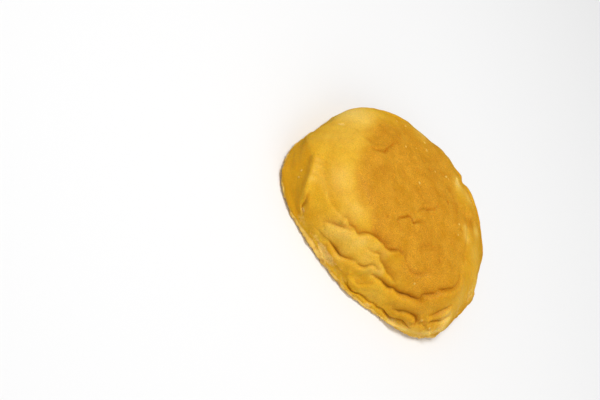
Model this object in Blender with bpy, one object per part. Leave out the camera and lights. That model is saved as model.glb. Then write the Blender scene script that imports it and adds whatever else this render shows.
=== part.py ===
"""A round rusk: half of a small baked bun, dried hard, lying on its flat torn foot with the crust up.

The solid starts as a ball of points. Each point is named by its angle round the rusk and by how far it
lies from the middle of the top, measured along the skin. Functions of those two numbers give the pressed
bun form, its uneven rim, its facet, and the folds and lumps of the wrinkled crust. Metres, +Z up, and the
origin is on the table under the middle.
"""

from collections import namedtuple

import bmesh
import bpy
import numpy as np

MM = 0.001

# Size of the bun half
RADIUS = 43.0 * MM  # mean radius at the widest line
HEIGHT = 22.0 * MM  # table to the middle of the top
WIDEST_AT = 8.5 * MM  # height of the widest line where the side is steep
FOOT_TUCK = 3.2 * MM  # how far the foot lies inside the widest line
SHOULDER_POWER = 3.0  # power of the side's superellipse: 2 is an ellipse, more is squarer

# Uneven rim: number of lobes, their depth, and the angle of one crest in degrees
RIM_WAVES = (
    (1, 1.2 * MM, 99),
    (2, 4.3 * MM, 39),
    (3, 1.6 * MM, -4),
    (4, 0.8 * MM, -21),
    (5, 0.6 * MM, 13),
    (6, 0.9 * MM, -7),
)

# One side slumped in the oven: there the shoulder slopes and the foot is as wide as the side
SLUMP_TOWARDS = -60.0  # degrees
SLUMP = 0.6  # share of the height lost at the widest line
SLUMP_POWER = 6  # how closely the slump keeps to the rim
SLUMP_FLARE = 2.8 * MM  # how far the foot spreads there

# The side that touched the next bun on the tray is a steep flat facet below a bowed edge
FACET_TOWARDS = -129.0  # degrees
FACET_TOP = 40.5 * MM  # skin distance of its upper edge
FACET_BOW = 10.2 * MM  # how much lower that edge is at FACET_HALF_TURN to either side
FACET_HALF_TURN = 21.0  # degrees
FACET_DEPTH = 1.2 * MM
FACET_FADES = (7.0 * MM, 14.0 * MM)  # skin distances below FACET_TOP between which the facet fades

# A short ridge beside the facet: height, half width, knots along its crest, each an angle in degrees and
# a skin distance in mm, and the angles between which it rises at one end and sinks at the other
RIDGE, RIDGE_WIDTH = 1.6 * MM, 1.2 * MM
RIDGE_AT = ((-137, 40.5), (-133, 39), (-129, 39), (-123, 39.5), (-116, 40.5), (-108, 42))
RIDGE_RISES, RIDGE_SINKS = (-135.0, -133.0), (-119.0, -106.0)

# Folds: depth of the crease, how far its inner and its outer flank reach, height of the roll outside it,
# how far that roll reaches, all in mm, and knots along the crease, each an angle and a skin distance in mm
Fold = namedtuple("Fold", "depth inner outer roll reach knots")
FOLDS = (
    # the long fold round the edge of the flat top
    Fold(1.3, 1.5, 1.1, 1.7, 3.6,
         ((-102, 37), (-100, 35.5), (-96, 36), (-94, 35.5), (-89, 35.5), (-88, 33.5), (-85, 32), (-82, 31),
          (-78, 30.5), (-74, 30), (-70, 30.5), (-67, 30), (-64, 29.5), (-61, 28))),
    Fold(0.9, 1.1, 1.1, 0.5, 2.5,
         ((-67, 30), (-63, 29), (-60, 28), (-57, 27.5), (-52, 27.5), (-47, 29.5), (-42, 31), (-38, 31.5),
          (-34, 31), (-31, 30), (-27, 29), (-24, 27.5), (-14, 25.5))),
    # its soft beginning, and the edge that turns down from it
    Fold(0.4, 1.6, 1.1, 0.5, 2.5, ((-116, 37), (-111, 37.5), (-109, 37.5), (-104, 37), (-101, 36))),
    Fold(0.8, 1.3, 1.1, 0.8, 2.5,
         ((-102, 43), (-102, 41.5), (-100, 40), (-96, 38), (-94, 36.5), (-92, 35.5))),
    # the valley between two long rolls
    Fold(1.4, 2.2, 1.1, 1.1, 3.0,
         ((-74, 35), (-70, 34), (-66, 35), (-61, 35.5), (-57, 36), (-54, 36.5), (-50, 37), (-45, 37.5))),
    # the ragged fold that laps over the lower roll
    Fold(1.4, 1.4, 1.1, 1.1, 3.0,
         ((-100, 44.5), (-97, 44.5), (-94, 43), (-89, 43), (-86, 43), (-82, 42.5), (-78, 41), (-75, 40.5))),
    Fold(0.9, 1.1, 1.1, 1.0, 2.0, ((-77, 40.5), (-72, 40.5), (-70, 40), (-68, 38), (-66, 37.5), (-60, 37.5))),
    # the deepest crease, bent like a V, and the lower edge of the hollow that it starts from
    Fold(2.2, 1.3, 1.1, 1.3, 4.0,
         ((-63, 40), (-59, 39.5), (-53, 39.5), (-47, 40), (-42, 39.5), (-38, 39.5), (-33, 38.5), (-29, 38),
          (-25, 37.5), (-23, 35.5), (-20, 34.5), (-15, 33), (-11, 31.5), (-6, 31), (-1, 31))),
    Fold(1.1, 1.1, 1.1, 0.9, 3.0, ((-11, 31.5), (-6, 31), (-2, 31), (4, 31), (8, 30.5), (11, 30), (16, 29))),
    Fold(0.6, 1.6, 1.1, 0.6, 2.5, ((-68, 44), (-64, 45), (-62, 44.5), (-60, 43), (-57, 41))),
    # the lip of the crust flap over the rough band at the foot
    Fold(0.7, 1.1, 2.2, 0.0, 2.0,
         ((-91, 46), (-88, 47), (-86, 46.5), (-83, 47), (-80, 47), (-76, 47), (-71, 46))),
    Fold(0.5, 1.1, 1.5, 0.0, 2.0, ((-72, 46.5), (-69, 47.5), (-67, 50), (-64, 52.5), (-60, 53), (-56, 53))),
    # layered folds over the foot
    Fold(1.5, 1.2, 1.1, 1.4, 2.5,
         ((-36, 45), (-34, 44), (-32, 43.5), (-29, 42.5), (-25, 42), (-21, 42.5), (-20, 44), (-21, 46))),
    Fold(0.9, 1.1, 1.1, 0.7, 2.5,
         ((-70, 51), (-65, 52), (-60, 52.5), (-57, 51), (-54, 50.5), (-48, 51.5), (-45, 50), (-41, 51))),
    Fold(2.0, 1.1, 1.3, 0.8, 2.5,
         ((-45, 50.5), (-42, 51), (-39, 49.5), (-36, 50.5), (-32, 51.5), (-30, 50), (-29, 48.5), (-27, 46.5),
          (-23, 47.5), (-20, 48.5))),
    # the small roll round the lower corner
    Fold(1.2, 1.1, 1.1, 1.5, 1.8, ((-15, 40.5), (-11, 39.5), (-8, 38.5), (-5, 37.5), (0, 36.5))),
    Fold(1.1, 1.1, 1.1, 0.5, 2.0, ((-13, 42.5), (-9, 41.5), (-5, 41.5), (-2, 40.5), (1, 40))),
    # a tear at the foot of the ridge
    Fold(1.0, 1.1, 1.1, 0.3, 2.0, ((-117, 41.5), (-115, 43), (-113, 44), (-111, 47), (-108, 48))),
    # short cracks in the flat top
    Fold(0.8, 1.1, 1.1, 0.3, 2.0,
         ((-157, 27.5), (-161, 25.5), (-164, 24.5), (-168, 23.5), (-172, 23.5), (-176, 24), (-181, 24))),
    Fold(0.9, 1.1, 1.1, 0.4, 2.0,
         ((-82, 19), (-84, 16), (-80, 13), (-74, 10.5), (-65, 10.5), (-59, 11.5), (-52, 10.5), (-42, 9),
          (-15, 6))),
    Fold(0.7, 1.1, 1.1, 0.3, 2.0, ((-52, 4.5), (-27, 2.5), (27, 2), (45, 4), (60, 7), (68, 9))),
    # soft folds on the far shoulder
    Fold(0.4, 1.6, 1.6, 0.4, 5.0, ((76, 28), (48, 25), (24, 29))),
    Fold(0.5, 1.6, 1.1, 0.5, 5.0, ((112, 42), (100, 40), (80, 37), (58, 39), (44, 42))),
    Fold(0.4, 1.4, 1.1, 0.4, 4.0, ((168, 44), (152, 40), (138, 41), (124, 46))),
)
PATH_STEP = 1.0 * MM
CREASE_BLUNT = 0.35  # how round the bottom of a crease is
ROLL_RISE = 0.8 * MM
INNER_SHARE = 0.15  # height of the roll inside a crease as a share of the one outside it

# Lumps and hollows: angle in degrees, skin distance, half length, half width and height in mm, and
# the lean of their length from straight round the rim, in degrees
LUMPS = (
    # a flake under the lowest fold, and one at the foot
    (-28, 53.5, 5.0, 1.5, 1.0, 20),
    (-96, 56, 2.2, 1.6, 1.2, 0),
    # the knob and the finger-shaped roll beside the long fold
    (-99, 37, 1.3, 1.2, 1.0, 0),
    (-95, 40, 5.0, 2.0, 0.7, 37),
    # the hollow beside the V-shaped crease
    (-66, 42.5, 2.6, 2.0, -1.1, 30),
    # the shoulder above the ridge: two dips, a short ridge, a low and a high bump
    (-126, 37, 5.0, 1.2, -0.6, 0),
    (-140, 38, 3.5, 2.5, -0.4, 0),
    (-112, 38, 2.6, 1.0, 0.4, -5),
    (-126, 31, 8.0, 3.0, 0.25, 0),
    (-105, 32, 4.0, 2.0, 0.4, 27),
    # the far side of the top: two ridges and two dips
    (49, 24, 4.0, 1.0, 0.4, -3),
    (74, 26, 1.5, 7.0, 0.4, 0),
    (66, 26, 1.2, 4.5, -0.4, 0),
    (58, 29, 2.0, 1.0, -0.3, 0),
    # a notch in the far rim, and the rise beside it
    (91, 39, 1.8, 6.0, -1.5, 0),
    (98, 39, 3.5, 6.0, -1.0, 0),
    (82, 40, 3.0, 5.0, 0.5, 0),
    # the hollow low on the side, and the side's bulge above it and below it
    (9, 50, 4.0, 5.0, -1.6, 0),
    (26, 43.5, 4.0, 3.5, 1.2, 0),
    (-1, 55, 3.0, 3.5, 1.0, 0),
    # the low ground beside the folds over the foot
    (-38, 43.5, 2.2, 1.2, -0.7, 40),
)

# Broad unevenness of the skin: wavelength and height
SWELLS = ((30.0 * MM, 0.25 * MM), (13.0 * MM, 0.14 * MM))
SWELL_WAVES = 14
SWELL_STRETCH = (0.75, 1.4)  # wavelengths drawn, as shares of the one named

# The crust ends in a torn lip, over a crumb wall that stands back a little under it
LIP_HEIGHT = 2.4 * MM
LIP_RISE = 4.0 * MM  # how much higher the lip is torn off on one side
LIP_RISE_TOWARDS = -86.0  # degrees
LIP_RISE_SPREAD = 22.0  # degrees
LIP_THICKNESS = 0.7 * MM
LIP_STEP = 0.5 * MM  # how far the wall stands back
TEAR_LOBES = (9, 14, 23, 31, 47)
TEAR_DEPTH = 0.2 * MM

# Fineness of the ball, of the thinned mesh and of the profile's table
BALL_COLUMNS = 384
CRUST_ROWS = 170
FOOT_ROWS = 20
FACES_KEPT = 11600
TABLE_POINTS = 600

CRUST_COLOUR = (0.62, 0.33, 0.045, 1.0)
CRUST_ROUGHNESS = 0.55


def smooth_step(low, high, value):
    """0 below low, 1 above high, and a smooth rise between them."""
    share = np.clip((value - low) / (high - low), 0.0, 1.0)
    return share * share * (3.0 - 2.0 * share)


def bell(value, spread):
    """1 at 0, falling away smoothly on both sides."""
    return np.exp(-((value / spread) ** 2))


def turn_between(angle, towards_deg):
    """The angle from a direction, between minus and plus half a turn."""
    return (angle - np.radians(towards_deg) + np.pi) % (2 * np.pi) - np.pi


def profile_table():
    """The turned form's radius and height along the skin, from the top's middle to the foot's."""
    quarter = np.linspace(0.0, np.pi / 2, TABLE_POINTS)
    across, up = np.sin(quarter), np.cos(quarter)
    norm = (across**SHOULDER_POWER + up**SHOULDER_POWER) ** (1 / SHOULDER_POWER)
    upper = RADIUS * across / norm, WIDEST_AT + (HEIGHT - WIDEST_AT) * up / norm
    lower = RADIUS - FOOT_TUCK * (1 - np.cos(quarter)), WIDEST_AT * (1 - np.sin(quarter))
    foot = (RADIUS - FOOT_TUCK) * np.linspace(1.0, 0.0, TABLE_POINTS), np.zeros(TABLE_POINTS)
    radius, height = np.hstack([upper, lower, foot])
    along = np.append(0.0, np.cumsum(np.hypot(np.diff(radius), np.diff(height))))
    return along, radius, height


ALONG, TABLE_RADIUS, TABLE_HEIGHT = profile_table()
SKIN_LENGTH = ALONG[-1]
FOOT_STARTS = ALONG[2 * TABLE_POINTS - 1]


def bun_form(angle, skin):
    """Points of the pressed bun with no folds, from angle and skin distance."""
    radius = np.interp(skin, ALONG, TABLE_RADIUS)
    height = np.interp(skin, ALONG, TABLE_HEIGHT)
    out = radius / RADIUS
    rim = sum(depth * np.cos(lobes * turn_between(angle, crest)) for lobes, depth, crest in RIM_WAVES)
    slumped = 0.5 + 0.5 * np.cos(turn_between(angle, SLUMP_TOWARDS))
    low = 1.0 - smooth_step(0.0, WIDEST_AT, height)
    radius = radius * (1 + rim / RADIUS) + SLUMP_FLARE * slumped * low * out**2
    height = height * (1 - SLUMP * slumped * np.minimum(out, 1.0) ** SLUMP_POWER)
    return np.stack([radius * np.cos(angle), radius * np.sin(angle), height], axis=-1)


def outward(angle, skin):
    """Unit normals of the pressed bun."""
    step = 0.4 * MM
    turn = step / RADIUS
    skin = np.clip(skin, 2 * step, SKIN_LENGTH - 2 * step)
    round_rim = bun_form(angle + turn, skin) - bun_form(angle - turn, skin)
    down_side = bun_form(angle, skin + step) - bun_form(angle, skin - step)
    normal = np.cross(down_side, round_rim)
    return normal / np.linalg.norm(normal, axis=-1, keepdims=True)


def laid_flat(angle, skin):
    """The skin laid out flat: skin distance along the angle."""
    return np.stack([skin * np.cos(angle), skin * np.sin(angle)], axis=-1)


def table_round(angle, table):
    """Skin distance read off a table of angles round the rim, blended between them."""
    degrees, skin = np.array(table).T
    return np.interp(np.degrees(angle), degrees, skin, period=360) * MM


def fold_path(fold):
    """A rounded line through a fold's knots on the skin laid out flat. Between two knots: the cubic that
    keeps each knot's slope, half the step from its neighbour to the next."""
    turn, skin = np.array(fold.knots).T
    knot = laid_flat(np.radians(turn), skin * MM)
    slope = np.gradient(knot, axis=0)
    legs = np.hypot(*np.diff(knot, axis=0).T)
    pieces = []
    for i, leg in enumerate(legs):
        s = np.linspace(0, 1, max(2, int(leg / PATH_STEP)), endpoint=False)[:, None]
        ends = knot[i] * (1 - 3 * s**2 + 2 * s**3) + knot[i + 1] * (3 * s**2 - 2 * s**3)
        pieces.append(ends + slope[i] * (s - 2 * s**2 + s**3) + slope[i + 1] * (s**3 - s**2))
    return np.concatenate(pieces + [knot[-1:]])


def fold_section(flat, fold):
    """Distance from a fold's line, the side (1 outside, -1 inside), and a fade towards its ends."""
    path = fold_path(fold)
    nearest = np.full(len(flat), np.inf)
    side, share = np.ones(len(flat)), np.zeros(len(flat))
    for i, (corner, leg) in enumerate(zip(path[:-1], np.diff(path, axis=0))):
        offset = flat - corner
        on_leg = np.clip(offset @ leg / (leg @ leg), 0, 1)
        gap = offset - on_leg[:, None] * leg
        distance = np.hypot(gap[:, 0], gap[:, 1])
        closer = distance < nearest
        nearest[closer] = distance[closer]
        share[closer] = (i + on_leg[closer]) / (len(path) - 1)
        side[closer] = np.sign((gap * corner).sum(axis=1))[closer]
    return nearest, side, np.sqrt(np.maximum(np.sin(np.pi * share), 0.0))


def fold_height(flat, fold):
    """Height of a roll less its crease. Crease: depth * exp(-distance / flank), blunted.
    Roll: (1 - exp(-distance / rise)) * exp(-(distance / reach)^2)."""
    nearest, side, fade = fold_section(flat, fold)
    flank = np.where(side > 0, fold.outer, fold.inner) * MM
    crease = fold.depth * MM * np.exp(CREASE_BLUNT - np.hypot(nearest / flank, CREASE_BLUNT))
    roll = (1 - np.exp(-nearest / ROLL_RISE)) * bell(nearest, fold.reach * MM)
    roll *= fold.roll * MM * np.where(side > 0, 1.0, INNER_SHARE)
    return (roll - crease) * fade


def lump_height(flat, lump):
    """An elliptical bell: height * exp(-(along / length)^2 - (across / width)^2)."""
    towards, skin, length, width, height, lean = lump
    offset = flat - laid_flat(np.radians(towards), skin * MM)
    heading = np.radians(towards + 90 + lean)
    along = offset @ np.array([np.cos(heading), np.sin(heading)])
    across = offset @ np.array([-np.sin(heading), np.cos(heading)])
    return height * MM * bell(along, length * MM) * bell(across, width * MM)


def swell_height(flat, wavelength, height, seed):
    """Soft rise and fall of the skin: a sum of waves in seeded directions."""
    draw = np.random.default_rng(seed)
    total = np.zeros(len(flat))
    for _ in range(SWELL_WAVES):
        heading, phase = draw.uniform(0, 2 * np.pi, 2)
        pace = 2 * np.pi / (wavelength * draw.uniform(*SWELL_STRETCH))
        total += np.cos(pace * (flat[:, 0] * np.cos(heading) + flat[:, 1] * np.sin(heading)) + phase)
    return height * total / np.sqrt(SWELL_WAVES / 2)


def facet_height(angle, skin):
    """The steep flat facet below a bowed edge, and the short ridge beside it."""
    off_middle = turn_between(angle, FACET_TOWARDS) / np.radians(FACET_HALF_TURN)
    past = skin - FACET_TOP - FACET_BOW * np.minimum(off_middle**2, 3.0)
    sunk = smooth_step(-0.4 * MM, 5.0 * MM, past) * (1.0 - smooth_step(*FACET_FADES, skin - FACET_TOP))
    sunk *= 1.0 - smooth_step(1.0, 1.7, np.abs(off_middle))
    degrees = FACET_TOWARDS + FACET_HALF_TURN * off_middle
    along = smooth_step(*RIDGE_RISES, degrees) * (1.0 - smooth_step(*RIDGE_SINKS, degrees))
    return RIDGE * along * bell(skin - table_round(angle, RIDGE_AT), RIDGE_WIDTH) - FACET_DEPTH * sunk


def crust_relief(angle, skin):
    """Height of everything that the crust adds to the pressed bun."""
    flat = laid_flat(angle, skin)
    height = facet_height(angle, skin)
    for seed, (wavelength, depth) in enumerate(SWELLS):
        height += swell_height(flat, wavelength, depth, seed)
    for fold in FOLDS:
        height += fold_height(flat, fold)
    for lump in LUMPS:
        height += lump_height(flat, lump)
    return height


def torn_lip(angle, height):
    """How far the crumb wall stands back under the crust's torn lip."""
    tear = sum(np.cos(lobes * (angle + 1.7)) / np.sqrt(lobes) for lobes in TEAR_LOBES)
    rise = LIP_RISE * bell(turn_between(angle, LIP_RISE_TOWARDS), np.radians(LIP_RISE_SPREAD))
    lip = LIP_HEIGHT + rise + 2 * TEAR_DEPTH * tear
    under = 1.0 - smooth_step(lip - LIP_THICKNESS, lip, height)
    return under * (LIP_STEP + TEAR_DEPTH * tear)


def rusk_point(angle, skin):
    """Points of the finished rusk."""
    point = bun_form(angle, skin)
    crust = 1.0 - smooth_step(FOOT_STARTS - 6 * MM, FOOT_STARTS - 1 * MM, skin)
    point += outward(angle, skin) * (crust * crust_relief(angle, skin))[:, None]
    reach = np.hypot(point[:, 0], point[:, 1])
    near_rim = smooth_step(0.6 * RADIUS, 0.85 * RADIUS, reach)
    stand_back = near_rim * torn_lip(angle, point[:, 2])
    point[:, :2] *= (1.0 - stand_back / np.maximum(reach, MM))[:, None]
    point[:, 2] = np.where(skin >= FOOT_STARTS, 0.0, np.maximum(point[:, 2], 0.0))
    return point


def clear_scene():
    for obj in list(bpy.data.objects):
        bpy.data.objects.remove(obj, do_unlink=True)


def crust_material():
    material = bpy.data.materials.new("baked_crust")
    material.use_nodes = True
    shader = material.node_tree.nodes["Principled BSDF"]
    shader.inputs["Base Color"].default_value = CRUST_COLOUR
    shader.inputs["Roughness"].default_value = CRUST_ROUGHNESS
    shader.inputs["Metallic"].default_value = 0.0
    return material


def skin_of_row(row):
    """Skin distance of a row of the ball: close rows on the crust, wide ones on the flat foot."""
    crust = row / CRUST_ROWS * FOOT_STARTS
    foot = FOOT_STARTS + (row - CRUST_ROWS) / FOOT_ROWS * (SKIN_LENGTH - FOOT_STARTS)
    return np.where(row < CRUST_ROWS, crust, foot)


def rusk_object(collection):
    """A ball whose points are moved to the rusk's skin, then thinned where the skin is smooth."""
    rows = CRUST_ROWS + FOOT_ROWS
    mesh = bpy.data.meshes.new("rusk")
    shape = bmesh.new()
    bmesh.ops.create_uvsphere(shape, u_segments=BALL_COLUMNS, v_segments=rows, radius=1.0)
    bmesh.ops.triangulate(shape, faces=shape.faces)
    shape.to_mesh(mesh)
    shape.free()
    ball = np.empty(len(mesh.vertices) * 3)
    mesh.vertices.foreach_get("co", ball)
    ball = ball.reshape(-1, 3)
    angle = np.arctan2(ball[:, 1], ball[:, 0])
    row = np.arccos(np.clip(ball[:, 2], -1.0, 1.0)) / np.pi * rows
    point = rusk_point(angle, skin_of_row(row))
    middle = (point.min(axis=0) + point.max(axis=0)) / 2
    point[:, :2] -= middle[:2]
    mesh.vertices.foreach_set("co", point.ravel())
    mesh.materials.append(crust_material())
    mesh.shade_smooth()
    rusk = bpy.data.objects.new("rusk", mesh)
    collection.objects.link(rusk)
    thinned = rusk.modifiers.new("thinned", "DECIMATE")
    thinned.ratio = FACES_KEPT / len(mesh.polygons)
    return rusk


def main():
    clear_scene()
    collection = bpy.data.collections.new("round_rusk")
    bpy.context.scene.collection.children.link(collection)
    rusk_object(collection)


main()
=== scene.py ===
"""A round rusk, half of a small bun baked and dried hard, lying crust up on a white table.

Two closed shells stand for the solid: the crust, with its browned flat top, golden shoulder and folds, and
the pale crumb that shows below the crust's torn edge and over the foot. Both are grids of a square folded
onto a disc, whose two parameters are the angle round the rusk and the distance along its skin. Metres.
"""
from collections import namedtuple

import bpy
import numpy as np
from mathutils import Matrix, Vector


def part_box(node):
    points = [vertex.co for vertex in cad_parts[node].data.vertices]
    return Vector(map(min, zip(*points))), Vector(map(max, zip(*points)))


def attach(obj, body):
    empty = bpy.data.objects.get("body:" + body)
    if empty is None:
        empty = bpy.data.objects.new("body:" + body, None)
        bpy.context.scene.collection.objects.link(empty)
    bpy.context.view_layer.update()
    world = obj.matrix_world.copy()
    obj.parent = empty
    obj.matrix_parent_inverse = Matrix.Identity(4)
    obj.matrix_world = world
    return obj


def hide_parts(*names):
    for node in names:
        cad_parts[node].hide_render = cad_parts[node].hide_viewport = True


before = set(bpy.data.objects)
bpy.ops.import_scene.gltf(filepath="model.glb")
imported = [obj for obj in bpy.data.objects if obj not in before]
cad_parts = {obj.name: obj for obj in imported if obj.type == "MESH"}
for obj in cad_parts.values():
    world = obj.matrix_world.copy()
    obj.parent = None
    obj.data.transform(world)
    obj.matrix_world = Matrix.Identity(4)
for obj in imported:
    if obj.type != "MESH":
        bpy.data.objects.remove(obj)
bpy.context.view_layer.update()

LOW, HIGH = (np.array(corner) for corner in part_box("rusk"))
MM = 0.001

# Driving sizes of the bun half
RADIUS = 43.0 * MM  # mean radius at the widest line
HEIGHT = 22.0 * MM  # table to the middle of the top
WIDEST_AT = 8.5 * MM  # height of the widest line where the side is steep
FOOT_TUCK = 3.2 * MM  # how far the foot lies inside the widest line
SHOULDER_POWER = 3.0  # power of the side's superellipse
PROFILE_POINTS = 600

# Uneven rim: number of lobes, their depth, and the angle of one crest in degrees
RIM_WAVES = (
    (1, 1.2 * MM, 99), (2, 4.3 * MM, 39), (3, 1.6 * MM, -4), (4, 0.8 * MM, -21), (5, 0.6 * MM, 13),
    (6, 0.9 * MM, -7),
)

# The side that slumped in the oven
SLUMP_TOWARDS = -60.0  # degrees
SLUMP = 0.6
SLUMP_POWER = 6
SLUMP_FLARE = 2.8 * MM

# The steep flat facet under a ridge, where the bun touched the next one on the tray
FACET_TOWARDS = -129.0  # degrees
FACET_TOP = 40.5 * MM  # skin distance of its upper edge
FACET_BOW = 10.2 * MM  # how much lower that edge is at FACET_HALF_TURN to either side
FACET_HALF_TURN = 21.0  # degrees
FACET_BOW_MOST = 3.0  # the bow stops at this many times FACET_BOW
FACET_DEPTH = 1.2 * MM
FACET_STEP = 0.25  # share of that depth that drops right at the edge
FACET_EDGE = (-0.4 * MM, 0.6 * MM)  # between these distances past it
FACET_RAMP = 5.0 * MM  # the whole depth is reached this far past the edge
FACET_FADES = (4.0 * MM, 16.0 * MM)  # it fades out between these distances below its top
FACET_ENDS = (1.0, 1.7)  # and between these shares of FACET_HALF_TURN to either side
# The short ridge beside it: height, half widths of its two flanks, knots along its crest, and the angles
# at its two ends between which it rises and sinks
RIDGE, RIDGE_INNER, RIDGE_OUTER = 1.6 * MM, 1.4 * MM, 1.2 * MM
RIDGE_AT = ((-137, 41), (-134, 40), (-129, 40), (-125, 40.5), (-121, 41.5), (-118, 42.5), (-108, 44))
RIDGE_RISES, RIDGE_SINKS = (-134.6, -133.0), (-119.0, -106.0)

# Folds: depth of the crease, how far its inner and its outer flank reach, height of the roll outside it,
# how far that roll reaches, all in mm, and knots along the crease, each an angle and a skin distance in mm
Fold = namedtuple("Fold", "depth inner outer roll reach knots")
FOLDS = [Fold(*row) for row in (
    # the long fold round the edge of the flat top
    (1.3, 1.5, 0.4, 1.7, 3.6,
     ((-102, 37), (-101, 36), (-100, 35.5), (-96, 36), (-94, 35.5), (-89, 35.5), (-88, 33.5), (-85, 32),
      (-82, 31), (-78, 30.5), (-74, 30), (-70, 30.5), (-67, 30), (-64, 29.5), (-61, 28))),
    (1.0, 1.0, 0.4, 0.6, 2.5, ((-67, 30), (-63, 29), (-60, 28), (-57, 27.5), (-53, 27.5))),
    (0.6, 1.0, 0.4, 0.4, 2.5, ((-57, 27.5), (-52, 27.5), (-47, 29.5), (-42, 31), (-38, 31.5))),
    (0.9, 1.0, 0.4, 0.4, 2.5,
     ((-42, 31), (-38, 31.5), (-34, 31), (-31, 30), (-27, 29), (-24, 27.5), (-14, 25.5))),
    # its soft beginning, and the edge that turns down from it
    (0.4, 1.6, 0.8, 0.5, 2.5, ((-116, 37), (-111, 37.5), (-109, 37.5), (-104, 37), (-101, 36))),
    (0.8, 1.3, 0.4, 0.8, 2.5,
     ((-102, 43), (-102, 41.5), (-100, 40), (-96, 38), (-94, 36.5), (-92, 35.5))),
    # the valley between two long rolls, and the small line that it starts from
    (1.4, 2.2, 0.8, 1.1, 3.0,
     ((-74, 35), (-70, 34), (-66, 35), (-61, 35.5), (-57, 36), (-54, 36.5), (-50, 37), (-45, 37.5))),
    (0.6, 0.6, 0.4, 0.3, 1.5, ((-79, 36), (-76, 35.5), (-73, 35), (-70, 34))),
    # the ragged fold that laps over the lower roll
    (1.3, 1.1, 0.4, 1.0, 3.0,
     ((-93, 43.5), (-91, 43.5), (-88, 43.5), (-85, 43.5), (-82, 43), (-78, 41.5), (-75, 40.5))),
    (0.9, 0.9, 0.4, 1.0, 2.0,
     ((-77, 40.5), (-74, 40.5), (-72, 40.5), (-70, 40), (-69, 39.5), (-68, 38), (-66, 37.5),
      (-60, 37.5))),
    # the deepest crease, bent like a V, and the lower edge of the hollow that it starts from
    (2.0, 1.0, 0.5, 1.3, 4.0,
     ((-63, 40), (-59, 39.5), (-53, 39.5), (-47, 40), (-42, 39.5), (-38, 39.5), (-33, 38.5), (-29, 38),
      (-25, 37.5), (-24, 36.5), (-23, 35.5), (-20, 34.5), (-15, 33), (-11, 31.5), (-6, 31), (-1, 31))),
    (1.5, 0.6, 0.3, 0.9, 3.0, ((-11, 31.5), (-6, 31), (-2, 31), (4, 31), (8, 30.5), (11, 30), (16, 29))),
    (0.4, 1.6, 0.8, 0.4, 2.5, ((-68, 44), (-64, 45), (-62, 44.5), (-60, 43), (-57, 41))),
    # the lip of the crust flap over the rough band at the foot, in two parts
    (0.9, 0.3, 2.2, 0.0, 2.0,
     ((-91, 46), (-88, 47), (-86, 46.5), (-83, 47), (-80, 47), (-76, 47), (-71, 46))),
    (0.6, 0.5, 1.5, 0.0, 2.0, ((-72, 46.5), (-69, 47.5), (-67, 50), (-64, 52.5), (-60, 53), (-56, 53))),
    # layered folds over the foot
    (1.6, 1.2, 0.7, 1.4, 2.5,
     ((-36, 45), (-34, 44), (-32, 43.5), (-29, 42.5), (-25, 42), (-21, 42.5), (-20, 44), (-21, 46))),
    (0.7, 1.0, 0.4, 0.7, 2.5,
     ((-70, 51), (-65, 52), (-60, 52.5), (-57, 51), (-54, 50.5), (-51, 51), (-48, 51.5), (-45, 50),
      (-41, 51))),
    (1.7, 0.9, 1.3, 0.8, 2.5,
     ((-45, 50.5), (-42, 51), (-39, 49.5), (-36, 50.5), (-32, 51.5), (-30, 50), (-29, 48.5), (-27, 46.5),
      (-23, 47.5), (-20, 48.5))),
    # the small roll round the lower corner
    (1.2, 0.9, 0.4, 1.5, 1.8, ((-15, 40.5), (-11, 39.5), (-8, 38.5), (-5, 37.5), (0, 36.5))),
    (1.3, 0.7, 0.6, 0.5, 2.0, ((-13, 42.5), (-9, 41.5), (-5, 41.5), (-2, 40.5), (1, 40))),
    # a tear at the foot of the ridge
    (1.0, 0.6, 0.5, 0.3, 2.0, ((-117, 41.5), (-115, 43), (-113, 44), (-111, 47), (-108, 48))),
    # short dents and cracks in the flat top
    (1.2, 0.6, 0.3, 0.3, 2.0,
     ((-157, 27.5), (-161, 25.5), (-164, 24.5), (-168, 23.5), (-172, 23.5), (-176, 24), (-181, 24),
      (-185, 24.5), (-190, 25))),
    (1.3, 0.45, 0.3, 0.25, 1.6,
     ((-82, 19), (-84, 16), (-80, 13), (-74, 10.5), (-65, 10.5), (-59, 11.5), (-52, 10.5), (-42, 9),
      (-15, 6))),
    (0.5, 0.6, 0.3, 0.15, 2.0, ((-84, 17.5), (-75, 18.5), (-71, 21))),
    (1.1, 0.45, 0.3, 0.2, 1.6, ((-52, 4.5), (-27, 2.5), (27, 2), (45, 4), (60, 7), (68, 9))),
    (0.45, 0.8, 0.4, 0.2, 2.0, ((-31, 20.5), (-23, 18.5), (-16, 17.5), (-7, 16))),
    # soft folds on the far shoulder
    (0.4, 1.6, 1.6, 0.4, 5.0, ((76, 28), (48, 25), (24, 29))),
    (0.5, 1.6, 0.9, 0.5, 5.0, ((112, 42), (100, 40), (80, 37), (58, 39), (44, 42))),
    (0.4, 1.4, 0.8, 0.4, 4.0, ((168, 44), (152, 40), (138, 41), (124, 46))),
    # the lip that the ragged fold starts from
    (0.8, 0.3, 1.4, 0.0, 2.0,
     ((-101, 45), (-98, 44.5), (-95, 44), (-92, 43.5), (-89, 43.5), (-86, 43.5), (-83, 43))),
)]
PATH_STEP = 0.7 * MM  # distance between the points of a fold's line
CREASE_BLUNT = 0.35
GROOVE_WIDTH, GROOVE_SHARE = 0.3 * MM, 0.35  # the sharp line at the bottom of a crease
ROLL_RISE = 0.8 * MM
INNER_SHARE = 0.15  # height of the roll inside a crease as a share of the one outside it
RAGGED, RAGGED_LENGTH = 0.25 * MM, 2.6 * MM  # how far and how often a fold's line wavers
VARIES, VARIES_LENGTH = 0.3, 4.5 * MM  # how much a crease's depth comes and goes along its line

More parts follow.
